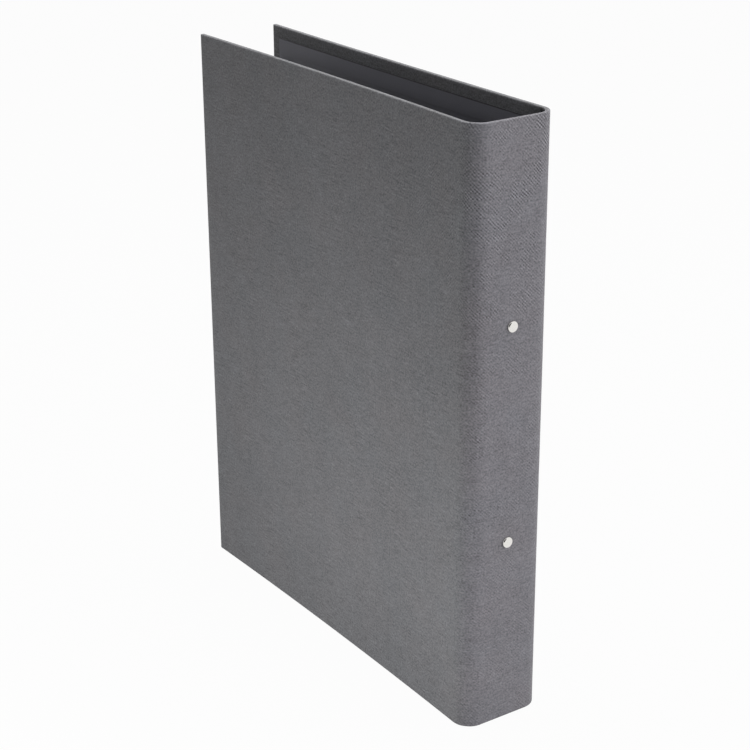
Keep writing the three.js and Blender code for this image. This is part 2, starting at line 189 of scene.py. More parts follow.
def add(tree, kind, inputs=None, **settings):
    """Adds a node with its settings. Inputs are values, or outputs of other nodes to link."""
    node = tree.nodes.new(kind)
    for name, value in settings.items():
        setattr(node, name, value)
    for socket, value in (inputs or {}).items():
        if isinstance(value, bpy.types.NodeSocket):
            tree.links.new(value, node.inputs[socket])
        else:
            node.inputs[socket].default_value = value
    return node


def rgba(rgb):
    return (rgb[0], rgb[1], rgb[2], 1)


def maths(tree, operation, first, second=0.0, third=0.0):
    node = add(tree, "ShaderNodeMath", {0: first, 1: second, 2: third}, operation=operation)
    return node.outputs[0]


def times(tree, first, second):
    return maths(tree, "MULTIPLY", first, second)


def plus(tree, start, value, gain):
    """Start, plus gain times the value."""
    return maths(tree, "MULTIPLY_ADD", value, gain, start)


def noise_of(tree, place, size, detail, **settings):
    inputs = {"Vector": place, "Scale": 1 / size, "Detail": detail}
    return add(tree, "ShaderNodeTexNoise", inputs, **settings).outputs["Fac"]


def toned(tree, dye, tone):
    return add(tree, "ShaderNodeVectorMath", {0: dye, "Scale": tone}, operation="SCALE").outputs[0]


def mixed_colours(tree, share, first, second, **settings):
    inputs = {"Factor": share, "A": first, "B": second}
    return add(tree, "ShaderNodeMix", inputs, data_type="RGBA", **settings).outputs["Result"]


def surface_output(tree, shader):
    add(tree, "ShaderNodeOutputMaterial", {"Surface": shader.outputs[0]})


def ridges(tree, position, pitch, slope):
    """Parallel ridges whose lines rise by slope on the flat cloth. Position is in metres."""
    turned = add(tree, "ShaderNodeMapping", {"Vector": position, "Rotation": (0, 0, -math.atan(slope))})
    parts = add(tree, "ShaderNodeSeparateXYZ", {0: turned.outputs[0]})
    phase = times(tree, parts.outputs["Y"], 2 * math.pi / pitch)
    return maths(tree, "SINE", phase)


def uneven(tree, flat, size, detail, stretch=1.0, seed=0.0, centre=0.5):
    """Noise on the flat cloth, less its centre, with features size metres high and stretch times as wide."""
    moved = add(tree, "ShaderNodeMapping", {"Vector": flat, "Location": (seed, seed, 0),
                                            "Scale": (1 / stretch, 1, 1)})
    inputs = {"Vector": moved.outputs[0], "Scale": 1 / size, "Detail": detail, "Roughness": 0.55}
    value = add(tree, "ShaderNodeTexNoise", inputs, noise_dimensions="2D").outputs["Fac"]
    return maths(tree, "SUBTRACT", value, centre)


def eased(tree, value, start, end, low, high):
    """Goes softly from low to high as the value goes from start to end."""
    inputs = {"Value": value, "From Min": start, "From Max": end, "To Min": low, "To Max": high}
    return add(tree, "ShaderNodeMapRange", inputs, interpolation_type="SMOOTHSTEP").outputs["Result"]


def weave_pattern(tree, flat, spine_share, pitch):
    """Crossing diagonal ridges, which wander and come and go in patches.

    They show most on the upper part of the spine and beside it. Flat X runs round the case from the back
    cover's fore-edge, and flat Y is the height.
    """
    wander, wander_size = 1.6 * MM, 14 * MM
    wobble_x = times(tree, uneven(tree, flat, wander_size, 2), wander)
    wobble_y = times(tree, uneven(tree, flat, wander_size, 2, seed=0.9), wander)
    wobble = add(tree, "ShaderNodeCombineXYZ", {"X": wobble_x, "Y": wobble_y}).outputs[0]
    woven = add(tree, "ShaderNodeVectorMath", {0: flat, 1: wobble}, operation="ADD").outputs[0]
    rising_share, rising_pitch, least_shown = 0.4, pitch * 1.04, 0.1
    falling_share = plus(tree, 0.5, spine_share, gain=0.5)
    falling = times(tree, ridges(tree, woven, pitch, slope=-1.0), falling_share)
    rising = times(tree, ridges(tree, woven, rising_pitch, slope=1.0), rising_share)
    patches = plus(tree, 0.35, uneven(tree, flat, 18 * MM, 2, seed=0.3, centre=0.42), gain=4.5)
    shown = maths(tree, "MAXIMUM", patches, least_shown)
    place_on_cloth = add(tree, "ShaderNodeSeparateXYZ", {0: flat}).outputs
    shown = times(tree, shown, eased(tree, place_on_cloth["Y"], 170 * MM, 270 * MM, low=0.4, high=1.15))
    shown = times(tree, shown, eased(tree, place_on_cloth["X"], 150 * MM, 285 * MM, low=0.3, high=1.25))
    gaps = uneven(tree, flat, 2.6 * MM, 3, stretch=1.4, seed=5.3)
    broken = plus(tree, 0.9, gaps, gain=5.0)
    shown = times(tree, shown, maths(tree, "MAXIMUM", broken, 0.0))
    return times(tree, maths(tree, "ADD", falling, rising), shown)


def weft_streaks(tree, flat, on_cover):
    """Long thin streaks along the weft, in patches of the covers."""
    patches = plus(tree, 0.3, uneven(tree, flat, 30 * MM, 2, seed=6.1, centre=0.45), gain=5.0)
    streaked = times(tree, maths(tree, "MAXIMUM", patches, 0.0), on_cover)
    return times(tree, uneven(tree, flat, 0.9 * MM, 2, stretch=12.0, seed=8.3), streaked)


def cloth_hue_shift(tree, flat, spine_share):
    """Small changes of the cloth's hue: in soft patches of the dye, and a slightly yellower tint on the
    covers than on the spine.
    """
    share = plus(tree, 0.5, uneven(tree, flat, 30 * MM, 2, seed=3.1), gain=2.0)
    warm, cool = (1.012, 1.0, 1.01, 1), (0.985, 1.0, 1.02, 1)
    cover, spine = (0.98, 1.0, 0.952, 1), (1.01, 1.0, 0.995, 1)
    both = {0: mixed_colours(tree, share, warm, cool, clamp_factor=True),
            1: mixed_colours(tree, spine_share, cover, spine)}
    return add(tree, "ShaderNodeVectorMath", both, operation="MULTIPLY").outputs[0]


def pale_flecks(tree, flat, on_cover):
    """Share of pale fibre at each place: a few short slanting flecks on the covers, in cells of 9 mm."""
    slant, narrowing, rarity, paleness = 0.6, 0.3, 0.82, 0.25
    slanted = add(tree, "ShaderNodeMapping", {"Vector": flat, "Rotation": (0, 0, slant),
                                              "Scale": (narrowing, 1, 1)})
    cells = add(tree, "ShaderNodeTexVoronoi", {"Vector": slanted.outputs[0], "Scale": 1 / (9 * MM)},
                voronoi_dimensions="2D")
    chance = add(tree, "ShaderNodeSeparateXYZ", {0: cells.outputs["Color"]})
    size = plus(tree, 0.012, chance.outputs["Y"], gain=0.05)
    inside = maths(tree, "LESS_THAN", cells.outputs["Distance"], size)
    chosen = maths(tree, "GREATER_THAN", chance.outputs["X"], rarity)
    return times(tree, times(tree, times(tree, inside, chosen), paleness), on_cover)


def book_cloth(case):
    """Book cloth: plain-woven cotton, dyed, filled and calendered.

    Matt with a faint sheen at a low angle. The weave's crossing diagonals lie 1.28 mm apart and show most on
    the upper spine. The covers show the uneven weft threads, which run across them, and a few pale flecks.
    """
    material = new_material("linen_book_cloth")
    tree = material.node_tree
    flat = add(tree, "ShaderNodeUVMap", uv_map="cloth").outputs[0]
    spine_share = add(tree, "ShaderNodeAttribute", attribute_name="spine_share").outputs["Fac"]
    on_cover = maths(tree, "SUBTRACT", 1.0, spine_share)
    weave = weave_pattern(tree, flat, spine_share, case.weave_pitch)
    fibre = uneven(tree, flat, 0.95 * MM, 3, stretch=1.2, seed=0.7)
    weft = uneven(tree, flat, 1.2 * MM, 2, stretch=3.2, seed=1.1)
    slub = uneven(tree, flat, 3.2 * MM, 2, stretch=3.0, seed=4.7)
    blotch = uneven(tree, flat, 9 * MM, 3, stretch=1.3, seed=2.3)
    clouds = uneven(tree, flat, 60 * MM, 2, seed=1.7)
    darkest = 0.35
    tone = plus(tree, 1.0, weave, gain=case.weave_relief)
    amounts = ((fibre, 1.3), (weft, 0.5), (weft_streaks(tree, flat, on_cover), 0.5), (slub, 0.2),
               (blotch, 0.2), (clouds, 0.2))
    for share, amount in amounts:
        tone = plus(tree, tone, share, gain=amount * case.fibre_relief)
    dyed = toned(tree, case.cloth_colour, maths(tree, "MAXIMUM", tone, darkest))
    tinted = add(tree, "ShaderNodeVectorMath", {0: dyed, 1: cloth_hue_shift(tree, flat, spine_share)},
                 operation="MULTIPLY")
    flecked = mixed_colours(tree, pale_flecks(tree, flat, on_cover), tinted.outputs[0],
                            rgba(case.fleck_colour))
    height = plus(tree, maths(tree, "ADD", fibre, weft), weave, gain=0.5)
    bump = add(tree, "ShaderNodeBump", {"Strength": 0.3, "Distance": 0.12 * MM, "Height": height})
    shader = add(tree, "ShaderNodeBsdfPrincipled", {
        "Base Color": flecked, "Roughness": 0.78, "IOR": 1.45, "Specular IOR Level": 0.35,
        "Sheen Weight": 0.2, "Sheen Roughness": 0.4, "Normal": bump.outputs[0]})
    surface_output(tree, shader)
    return material


def lining_paper(case):
    """Lining paper: dyed machine-made paper, calendered.

    Dark grey and smoother than the cloth, with a fine felt mark and slight cockling from the glue. Its cut
    edge shows as a thin black line of painted shade, standing in for the shadow under the paper's edge.
    """
    material = new_material("dyed_lining_paper")
    tree = material.node_tree
    flat = add(tree, "ShaderNodeUVMap", uv_map="cloth").outputs[0]
    felt = noise_of(tree, flat, 0.8 * MM, 3.0, noise_dimensions="2D")
    cockling = noise_of(tree, flat, 35 * MM, 2.0, noise_dimensions="2D")
    tone = plus(tree, plus(tree, 0.86, felt, gain=0.16), cockling, gain=0.12)
    # Painted shade: the attribute marks the band along the lining's edge, which is mixed towards near black
    # to stand in for the shadow under the paper's edge.
    edge = add(tree, "ShaderNodeAttribute", attribute_name="cut_edge").outputs["Fac"]
    sheet = mixed_colours(tree, edge, rgba(case.lining_colour), rgba(case.edge_shade_colour))
    dyed = toned(tree, sheet, tone)
    height = plus(tree, felt, cockling, gain=6.0)
    bump = add(tree, "ShaderNodeBump", {"Strength": 0.3, "Distance": 0.08 * MM, "Height": height})
    shader = add(tree, "ShaderNodeBsdfPrincipled", {
        "Base Color": dyed, "Roughness": 0.62, "IOR": 1.45, "Normal": bump.outputs[0]})
    surface_output(tree, shader)
    return material


def grey_board(case):
    """Grey board: pressed waste paper. Dull grey-brown, with specks of fibre."""
    material = new_material("pressed_grey_board")
    tree = material.node_tree
    place = add(tree, "ShaderNodeTexCoord").outputs["Object"]
    tone = plus(tree, 0.8, noise_of(tree, place, 1.2 * MM, 4.0), gain=0.4)
    pulp = toned(tree, case.board_colour, tone)
    shader = add(tree, "ShaderNodeBsdfPrincipled", {"Base Color": pulp, "Roughness": 0.95})
    surface_output(tree, shader)
    return material


def nickel_plate(mechanism):
    """Nickel-plated steel: drawn wire and pressed sheet, bright plated.

    A clear, slightly warm metal with fine drawing marks and faint rubbed patches.
    """
    material = new_material("nickel_plated_steel")
    tree = material.node_tree
    place = add(tree, "ShaderNodeTexCoord").outputs["Object"]
    marks = add(tree, "ShaderNodeMapping", {"Vector": place, "Scale": (1, 1, 0.08)})
    drawn = noise_of(tree, marks.outputs[0], 0.25 * MM, 2.0)
    rubbed = noise_of(tree, place, 6 * MM, 3.0)
    rough = add(tree, "ShaderNodeMapRange", {"Value": rubbed, "To Min": 0.1, "To Max": 0.2})
    bump = add(tree, "ShaderNodeBump", {"Strength": 0.08, "Distance": 0.02 * MM, "Height": drawn})
    shader = add(tree, "ShaderNodeBsdfPrincipled", {
        "Base Color": rgba(mechanism.plate_colour), "Metallic": 1.0, "Roughness": rough.outputs["Result"],
        "Normal": bump.outputs[0]})
    surface_output(tree, shader)
    return material


# Case: cloth and lining

def smooth_share(value):
    share = min(max(value, 0), 1)
    return share * share * (3 - 2 * share)


class Station:
    """A point on the plan line of the cloth's outer face, with the way inwards and what it lies on."""

    def __init__(self, case, x, y, inward, along, board_share, spine_share):
        self.x = x
        self.y = y
        self.inward = Vector(inward)
        self.along = along
        self.board_share = board_share
        self.spine_share = spine_share
        self.dip = 0
        self.case = case

    def seat(self):
        """Depth of the surface under a turned-in or lining sheet."""
        return self.case.cloth + self.case.board * self.board_share + self.dip

    def end_seat(self, z):
        """The same, where the cloth folded over at the head and foot fills out a bend."""
        from_end = min(z - SPINE_LOW.z, SPINE_LOW.z + self.case.height - z)
        fill = smooth_share(1 - from_end / self.case.end_fold)
        return self.seat() + self.case.board * (1 - self.board_share) * fill

    def point(self, depth, z):
        return Vector((self.x + self.inward.x * depth, self.y + self.inward.y * depth, z))


def cover_run(case, side, bow):
    """Stations of one cover from its fore-edge to its bend."""
    half = case.width / 2
    edge = case.depth - case.edge_round * CORNER_SHARE
    cut = case.depth - case.margin
    step_top = case.depth - case.turn_in
    step_foot = step_top - case.step_run
    board_end = case.bend + case.setback
    count = 26
    # The level one edge-shade width in from the lining's cut is where the painted shade along the lining's
    # edge ends.
    levels = [edge, cut, cut - case.edge_shade_width, step_top]
    levels += [step_foot + (board_end - step_foot) * i / count for i in range(count + 1)]
    levels += [case.bend + case.setback * share for share in (0.75, 0.5, 0.25, 0)]
    run = []
    for level in levels:
        share = (level - case.bend) / (case.depth - case.bend)
        x = side * (half - 4 * bow * share * (1 - share))
        board_share = smooth_share((level - case.bend) / case.setback)
        run.append(Station(case, x, SPINE_LOW.y + level, (-side, 0), case.depth - level, board_share, 0))
    return run


def bend_run(case, side, steps=18):
    """Stations of one bend, from the cover's end to the spine's, without the first."""
    half = case.width / 2
    run = []
    for i in range(1, steps + 1):
        angle = math.pi / 2 * i / steps
        x = side * (half - case.bend + case.bend * math.cos(angle))
        y = SPINE_LOW.y + case.bend - case.bend * math.sin(angle)
        along = case.depth - case.bend + case.bend * angle
        run.append(Station(case, x, y, (-side * math.cos(angle), math.sin(angle)), along, 0, i / steps))
    return run


def plan_line(case):
    """Stations round the whole case, from the back cover's fore-edge to the front cover's."""
    back = cover_run(case, -1, case.back_bow) + bend_run(case, -1)
    front = cover_run(case, 1, case.front_bow) + bend_run(case, 1)
    reach = case.width / 2 - case.bend
    start = back[-1].along
    spine = []
    steps = [-1 + case.setback / reach * i / 3 for i in (1, 2, 3)]
    steps += [-0.6, -0.3, 0, 0.3, 0.6]
    steps += [1 - case.setback / reach * i / 3 for i in (3, 2, 1)]
    for step in steps:
        from_end = (1 - abs(step)) * reach
        board_share = smooth_share(from_end / case.setback)
        along = start + (step + 1) * reach
        spine.append(Station(case, step * reach, SPINE_LOW.y, (0, 1), along, board_share, 1))
    total = 2 * start + 2 * reach
    for station in front:
        station.along = total - station.along
    line = back + spine + front[::-1]
    for station in line:
        nearest = min(station.along, total - station.along)
        fold = case.depth - case.bend + case.bend * math.pi / 4
        share = min(abs(nearest - fold) / case.crease_width, 1)
        depth = case.crease if station.x < 0 else case.front_crease
        station.dip = depth * math.cos(share * math.pi / 2) ** 2
    return line


def heights_between(low, high, step):
    count = max(1, round((high - low) / step))
    return [low + (high - low) * i / count for i in range(count + 1)]


def ends(case):
    """Heights of the case's foot and head."""
    return SPINE_LOW.z, SPINE_LOW.z + case.height


def swell(case, along, z):
    """Small swells of the glued cloth, in metres."""
    across, up = 70 * MM, 90 * MM
    return case.waviness * noise.noise(Vector((along / across, z / up, 0.5)))


def from_fore_edge(case, station):
    return SPINE_LOW.y + case.depth - station.y


class Rail:
    """An upright line of the wrapped cloth: its plan point, its depth there and the way out of the board."""

    def __init__(self, station, depth, outward, u, outside=False):
        self.station = station
        self.depth = depth
        self.base = station.point(depth, 0)
        self.outward = outward
        self.u = u
        self.outside = outside

    def at(self, inset, z):
        place = self.base - self.outward * inset
        return Vector((place.x, place.y, z))


def cloth_rails(case, line):
    """Rails inside from the seam to the fore-edge, round it, and back along the outside."""
    outer, inner = [], []
    for station in line:
        thickness = station.seat() + case.cloth
        inward = station.inward.to_3d()
        outer.append(Rail(station, station.dip, -inward, station.along, outside=True))
        inner.append(Rail(station, thickness, inward, -station.along - thickness))
    first = line[0]
    thickness = first.seat() + case.cloth
    corner = case.edge_round * CORNER_SHARE
    inward, away = first.inward.to_3d(), Vector((0, 1, 0))
    wall = []
    steps = 4
    for depth, start, end, begin in ((thickness - corner, inward, away, 1), (corner, away, -inward, 0)):
        for i in range(steps):
            turn = math.pi / 2 * (i + begin) / steps
            outward = start * math.cos(turn) + end * math.sin(turn)
            rail = Rail(first, depth, outward, -thickness * (1 - i / steps) / 2)
            rail.base = first.point(depth, 0) + outward * corner
            wall.append(rail)
    return inner[::-1], wall, outer


def cloth_rows(case):
    """Heights of the rows up the cloth, each with its inset where it rounds the edge at the foot and head."""
    low, high = ends(case)
    steps = 4
    angles = [i / steps * math.pi / 2 for i in range(1, steps + 1)]
    edge = [(case.edge_round * (1 - math.sin(a)), case.edge_round * (1 - math.cos(a))) for a in angles]
    from_end, margin_step, wall_step = 1 * MM, 2.2 * MM, 12 * MM
    heights = heights_between(low + from_end, low + case.turn_in, margin_step)[:-1]
    heights += heights_between(low + case.turn_in, high - case.turn_in, wall_step)
    heights += heights_between(high - case.turn_in, high - from_end, margin_step)[1:]
    foot = [(low + rise, inset) for rise, inset in edge[::-1]]
    head = [(high - rise, inset) for rise, inset in edge]
    return foot + [(z, 0) for z in heights] + head


def cloth_point(case, rail, z, inset, turned_in):
    """Place of the cloth on a rail, with the swells outside and the folded ends inside."""
    low, high = ends(case)
    calm = 20 * MM
    if rail.outside:
        near_ends = smooth_share((z - low) / calm) * smooth_share((high - z) / calm)
        inset -= swell(case, rail.station.along, z) * near_ends
    if turned_in:
        inset -= rail.station.end_seat(z) - rail.station.seat()
    return rail.at(inset, z)


def build_cloth(case, name, line, open_end_last):
    """One length of the wrapped cloth as a thin shell: outside, edges and turned-in margins."""
    stations = line if open_end_last else line[::-1]
    inner, wall, outer = cloth_rails(case, stations)
    rails = inner + wall + outer
    rows = cloth_rows(case)
    mesh = bmesh.new()
    uv = mesh.loops.layers.uv.new("cloth")
    rail_of = {}
    grid = []
    for index, rail in enumerate(rails):
        column = [mesh.verts.new(cloth_point(case, rail, *row, index < len(inner))) for row in rows]
        rail_of.update((vert, rail) for vert in column)
        grid.append(column)

    def quad(*corners, cap=0):
        face = mesh.faces.new(corners)
        face.smooth = True
        for loop in face.loops:
            rail = rail_of[loop.vert]
            along = rail.station.along if cap else rail.u
            loop[uv].uv = (along, loop.vert.co.z + cap * rail.depth)

    edge = next(i for i, s in enumerate(stations) if from_fore_edge(case, s) > case.turn_in - SAME_PLACE)
    low, high = ends(case)
    bare_low, bare_high = low + case.turn_in - SAME_PLACE, high - case.turn_in + SAME_PLACE
    bare_rows = [below > bare_low and above < bare_high for (below, _), (above, _) in zip(rows, rows[1:])]
    for i in range(len(rails) - 1):
        past_edge = i + 1 > len(inner) - 1 - edge
        for j, bare in enumerate(bare_rows):
            if past_edge or not bare:
                quad(grid[i][j], grid[i + 1][j], grid[i + 1][j + 1], grid[i][j + 1])
    pairs = list(zip(grid, grid[::-1]))[:len(inner) + len(wall) // 2]
    for (a, b), (c, d) in zip(pairs, pairs[1:]):
        quad(a[-1], c[-1], d[-1], b[-1], cap=1)
        quad(a[0], b[0], d[0], c[0], cap=-1)
    area = sum(face.calc_area() for face in mesh.faces)
    bmesh.ops.recalc_face_normals(mesh, faces=mesh.faces)
    outermost = max(mesh.faces, key=lambda face: abs(face.calc_center_median().x))
    if outermost.normal.x * outermost.calc_center_median().x < 0:
        bmesh.ops.reverse_faces(mesh, faces=mesh.faces)
    piece = new_object(name, mesh)
    set_share(piece, case)
    shell = piece.modifiers.new("cloth", "SOLIDIFY")
    pressed = 0.98
    shell.thickness = case.cloth * pressed
    shell.offset = -1
    apply_modifiers(piece)
    piece.data.set_sharp_from_angle(angle=SHARP_EDGE)
    return piece, area


def set_share(piece, case):
    """Marks how far each point is round towards the spine, for the weave and the tint."""
    share = piece.data.attributes.new("spine_share", "FLOAT", "POINT")
    start = SPINE_LOW.y + case.bend
    values = [smooth_share((start - vert.co.y) / case.bend) for vert in piece.data.vertices]
    share.data.foreach_set("value", values)


def linked(name, data):
    """A new object in the scene."""
    piece = bpy.data.objects.new(name, data)
    bpy.context.scene.collection.objects.link(piece)
    return piece


def new_object(name, mesh):
    data = bpy.data.meshes.new(name)
    mesh.to_mesh(data)
    mesh.free()
    return linked(name, data)


def mark_sharp(mesh, angle):
    for edge in mesh.edges:
        if edge.calc_face_angle(0) > angle:
            edge.smooth = False


def apply_modifiers(piece):
    """Turns a piece with its modifiers into a plain mesh."""
    view = bpy.context.evaluated_depsgraph_get()
    view.update()
    data = bpy.data.meshes.new_from_object(piece.evaluated_get(view), preserve_all_data_layers=True,
                                           depsgraph=view)
    piece.modifiers.clear()
    old = piece.data
    piece.data = data
    data.name = piece.name
    bpy.data.meshes.remove(old)


def lining_lift(case, station, z):
    """Height of the turned-in cloth under the lining at a place, as a share of the cloth's thickness."""
    low, high = ends(case)
    from_edge = min(z - low, high - z, from_fore_edge(case, station))
    return smooth_share((case.turn_in + case.step_run - from_edge) / case.step_run)


def lining_heights(case):
    """Heights of the lining's rows, closer along its edges, where painted shade lies, and where it steps down
    from the turn-in.
    """
    bottom, top = ends(case)
    low, high = bottom + case.margin, top - case.margin
    inside = case.turn_in - case.margin
    open_step = 14 * MM
    steps = [case.step_run * i / 4 for i in range(5)]
    foot = [low, low + case.edge_shade_width, low + inside / 2] + [low + inside + step for step in steps]
    head = [high - inside - step for step in steps[::-1]] + [high - inside / 2, high - case.edge_shade_width, high]
    opposite = SPINE_LOW.z * 2 + case.height - foot[-1]
    return foot + heights_between(foot[-1], opposite, open_step)[1:-1] + head


def build_lining(case, name, line):
    """One length of lining paper, lying on the boards and on the turned-in cloth round them."""
    heights = lining_heights(case)
    stations = [s for s in line if from_fore_edge(case, s) > case.margin - SAME_PLACE]
    mesh = bmesh.new()
    uv = mesh.loops.layers.uv.new("cloth")
    along_of = {}
    sides = []
    for level in (0, 1):
        grid = []
        for station in stations:
            column = []
            for z in heights:
                depth = station.seat() + case.cloth * lining_lift(case, station, z)
                depth += cockle(case, station, z) + level * case.lining
                vert = mesh.verts.new(station.point(depth, z))
                along_of[vert] = station.along
                column.append(vert)
            grid.append(column)
        sides.append(grid)

    def quad(*corners):
        face = mesh.faces.new(corners)
        face.smooth = True
        for loop in face.loops:
            loop[uv].uv = (along_of[loop.vert], loop.vert.co.z)

    under, over = sides
    last_i, last_j = len(stations) - 1, len(heights) - 1
    for i in range(last_i):
        for j in range(last_j):
            quad(under[i][j], under[i][j + 1], under[i + 1][j + 1], under[i + 1][j])
            quad(over[i][j], over[i + 1][j], over[i + 1][j + 1], over[i][j + 1])
        quad(under[i][0], under[i + 1][0], over[i + 1][0], over[i][0])
        quad(under[i][last_j], over[i][last_j], over[i + 1][last_j], under[i + 1][last_j])
    for j in range(last_j):
        quad(under[0][j], over[0][j], over[0][j + 1], under[0][j + 1])
        quad(under[last_i][j], under[last_i][j + 1], over[last_i][j + 1], over[last_i][j])
    bmesh.ops.recalc_face_normals(mesh, faces=mesh.faces)
    mark_sharp(mesh, SHARP_EDGE)
    piece = new_object(name, mesh)
    near = 0.01 * MM
    fore = SPINE_LOW.y + case.depth - case.margin - near
    low, high = heights[0] + near, heights[-1] - near
    # Marks the rim of the lining, where painted shade stands in for the shadow under the paper's edge.
    cut_edge = piece.data.attributes.new("cut_edge", "FLOAT", "POINT")
    for vert, mark in zip(piece.data.vertices, cut_edge.data):
        mark.value = float(vert.co.z < low or vert.co.z > high or vert.co.y > fore)
    return piece


def cockle(case, station, z):
    """Slight ridges of the lining near the head of the front cover, where the glue drew it."""
    if station.x < 0 or station.spine_share > 0:
        return 0
    top = SPINE_LOW.z + case.height
    fore = SPINE_LOW.y + case.depth
    ridge_width = 4 * MM
    lift = 0
    for back, down, reach, height in ((52, 10, 26, 0.35), (30, 11, 14, 0.25)):
        along = (fore - back * MM - station.y) / (reach * MM)
        across = (top - down * MM - z) / ridge_width
        lift += height * MM * math.exp(-along * along - across * across)
    return lift * smooth_share((top - case.margin - z) / ridge_width)


# Mechanism

def merged_copy(node, name):
    """A copy of a frame node with its doubles merged, smooth faces, and its sharp edges slightly rounded."""
    sharp, merging = math.radians(28), 0.002 * MM
    mesh = bmesh.new()
    mesh.from_mesh(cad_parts[node].data)
    bmesh.ops.remove_doubles(mesh, verts=mesh.verts, dist=merging)
    bmesh.ops.dissolve_limit(mesh, angle_limit=math.radians(0.5), verts=mesh.verts, edges=mesh.edges)
    for face in mesh.faces:
        face.smooth = True
    mark_sharp(mesh, sharp)
    piece = new_object(name, mesh)
    round_off = piece.modifiers.new("edges", "BEVEL")
    round_off.width = 0.12 * MM
    round_off.segments = 2
    round_off.limit_method = "ANGLE"
    round_off.angle_limit = sharp
    round_off.harden_normals = True
    apply_modifiers(piece)
    return piece


def ring_path(mech, foot_end):
    """Points of a ring half's centre line from foot to tip, in the plane of the ring, on the +X side."""
    radius = mech.ring_inside / 2 + mech.wire_radius
    bend_start = BOARD_HIGH.y + LINING_THICKNESS + mech.foot_height
    slope = math.asin((mech.foot_x + mech.foot_bend) / (radius + mech.foot_bend))
    centre = bend_start + (radius + mech.foot_bend) * math.cos(slope)
    points = [Vector((mech.foot_x, foot_end + (bend_start - foot_end) * i / 3, 0)) for i in range(3)]
    turn = math.pi / 2 - slope
    bend_steps, arc_steps = 8, 60
    for i in range(bend_steps + 1):
        angle = turn * i / bend_steps
        x = mech.foot_x + mech.foot_bend * (1 - math.cos(angle))
        points.append(Vector((x, bend_start + mech.foot_bend * math.sin(angle), 0)))
    last = math.pi - math.asin(mech.tip_gap / 2 / radius)
    for i in range(1, arc_steps + 1):
        angle = slope + (last - slope) * i / arc_steps
        points.append(Vector((radius * math.sin(angle), centre - radius * math.cos(angle), 0)))
    return points


def ring_form(mech, name, side, has_nose):
    """One ring half at height 0: staked foot, bent wire and a tip with a nose or a socket."""
    foot_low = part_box("upper_ring_right_half")[0].y
    sharp, stake = math.radians(40), 0.35 * MM
    path = ring_path(mech, foot_low + stake)
    wire = mech.wire_radius
    chamfer, edge = 0.15 * MM, 0.02 * MM
    staked, staked_end = wire * 1.25, wire * 1.18
    up = Vector((0, 1, 0))
    points = [path[0] - up * stake, path[0] - up * (stake - chamfer / 2), path[0].copy(), path[0] + up * edge]
    radii = [staked_end, staked, staked, wire]
    points += path[1:-1]
    radii += [wire] * (len(path) - 2)
    tip = path[-1]
    out = Vector((-1, 0, 0))
    nose = 1 if has_nose else -1
    clearance = 0 if has_nose else 0.2 * MM
    points += [tip - out * chamfer, tip, tip + out * 0.01 * MM * nose]
    points += [tip + out * (mech.nose_length + clearance * 2) * nose]
    nose_radius = mech.nose_radius + clearance
    radii += [wire, wire - chamfer, nose_radius, nose_radius / 2]
    mesh = swept_wire(points, radii, mech.wire_sides)
    if side < 0:
        bmesh.ops.transform(mesh, matrix=Matrix.Scale(-1, 4, (1, 0, 0)), verts=mesh.verts)
    bmesh.ops.recalc_face_normals(mesh, faces=mesh.faces)
    mark_sharp(mesh, sharp)
    return new_object(name, mesh)


def swept_wire(points, radii, sides):
    """Sweeps a wire up from its foot and out to its tip. Its last points may run back into it as a socket."""
    mesh = bmesh.new()
    loops = []
    end_points = 4
    for i, (point, radius) in enumerate(zip(points, radii)):
        if i < end_points:
            along = Vector((0, 1, 0))
        elif i >= len(points) - end_points:
            along = Vector((-1, 0, 0))
        else:
            along = (points[i + 1] - points[i - 1]).normalized()
        side = Vector((-along.y, along.x, 0))
        loops.append([mesh.verts.new(point + (side * math.cos(t) + Vector((0, 0, 1)) * math.sin(t)) * radius)
                      for t in (2 * math.pi * k / sides for k in range(sides))])
    for first, second in zip(loops, loops[1:]):
        for k in range(sides):
            n = (k + 1) % sides
            mesh.faces.new((first[k], first[n], second[n], second[k])).smooth = True
    mesh.faces.new(loops[0][::-1])
    mesh.faces.new(loops[-1])
    return mesh


def turned_form(name, profile, sides=64):
    """A turned piece about Y at height 0, from pairs of radius and y. Sharp corners stay sharp."""
    sharp = math.radians(35)
    mesh = bmesh.new()
    loops = []
    for radius, y in profile:
        if radius == 0:
            loops.append([mesh.verts.new((0, y, 0))])
        else:
            loops.append([mesh.verts.new((radius * math.cos(t), y, radius * math.sin(t)))
                          for t in (2 * math.pi * k / sides for k in range(sides))])
    for first, second in zip(loops, loops[1:]):
        for k in range(sides):
            n = (k + 1) % sides
            if len(first) == 1:
                corners = (first[0], second[k], second[n])
            elif len(second) == 1:
                corners = (first[k], second[0], first[n])
            else:
                corners = (first[k], second[k], second[n], first[n])
            mesh.faces.new(corners).smooth = True
    bmesh.ops.recalc_face_normals(mesh, faces=mesh.faces)
    mark_sharp(mesh, sharp)
    return new_object(name, mesh)


def rounded(corner, before, after, radius, steps=4):
    """Points that round a profile's corner."""
    corner, before, after = Vector(corner), Vector(before), Vector(after)
    start = corner + (before - corner).normalized() * radius
    end = corner + (after - corner).normalized() * radius
    points = []
    for i in range(steps + 1):
        t = i / steps
        points.append(tuple(start * (1 - t) ** 2 + corner * 2 * t * (1 - t) + end * t ** 2))
    return points


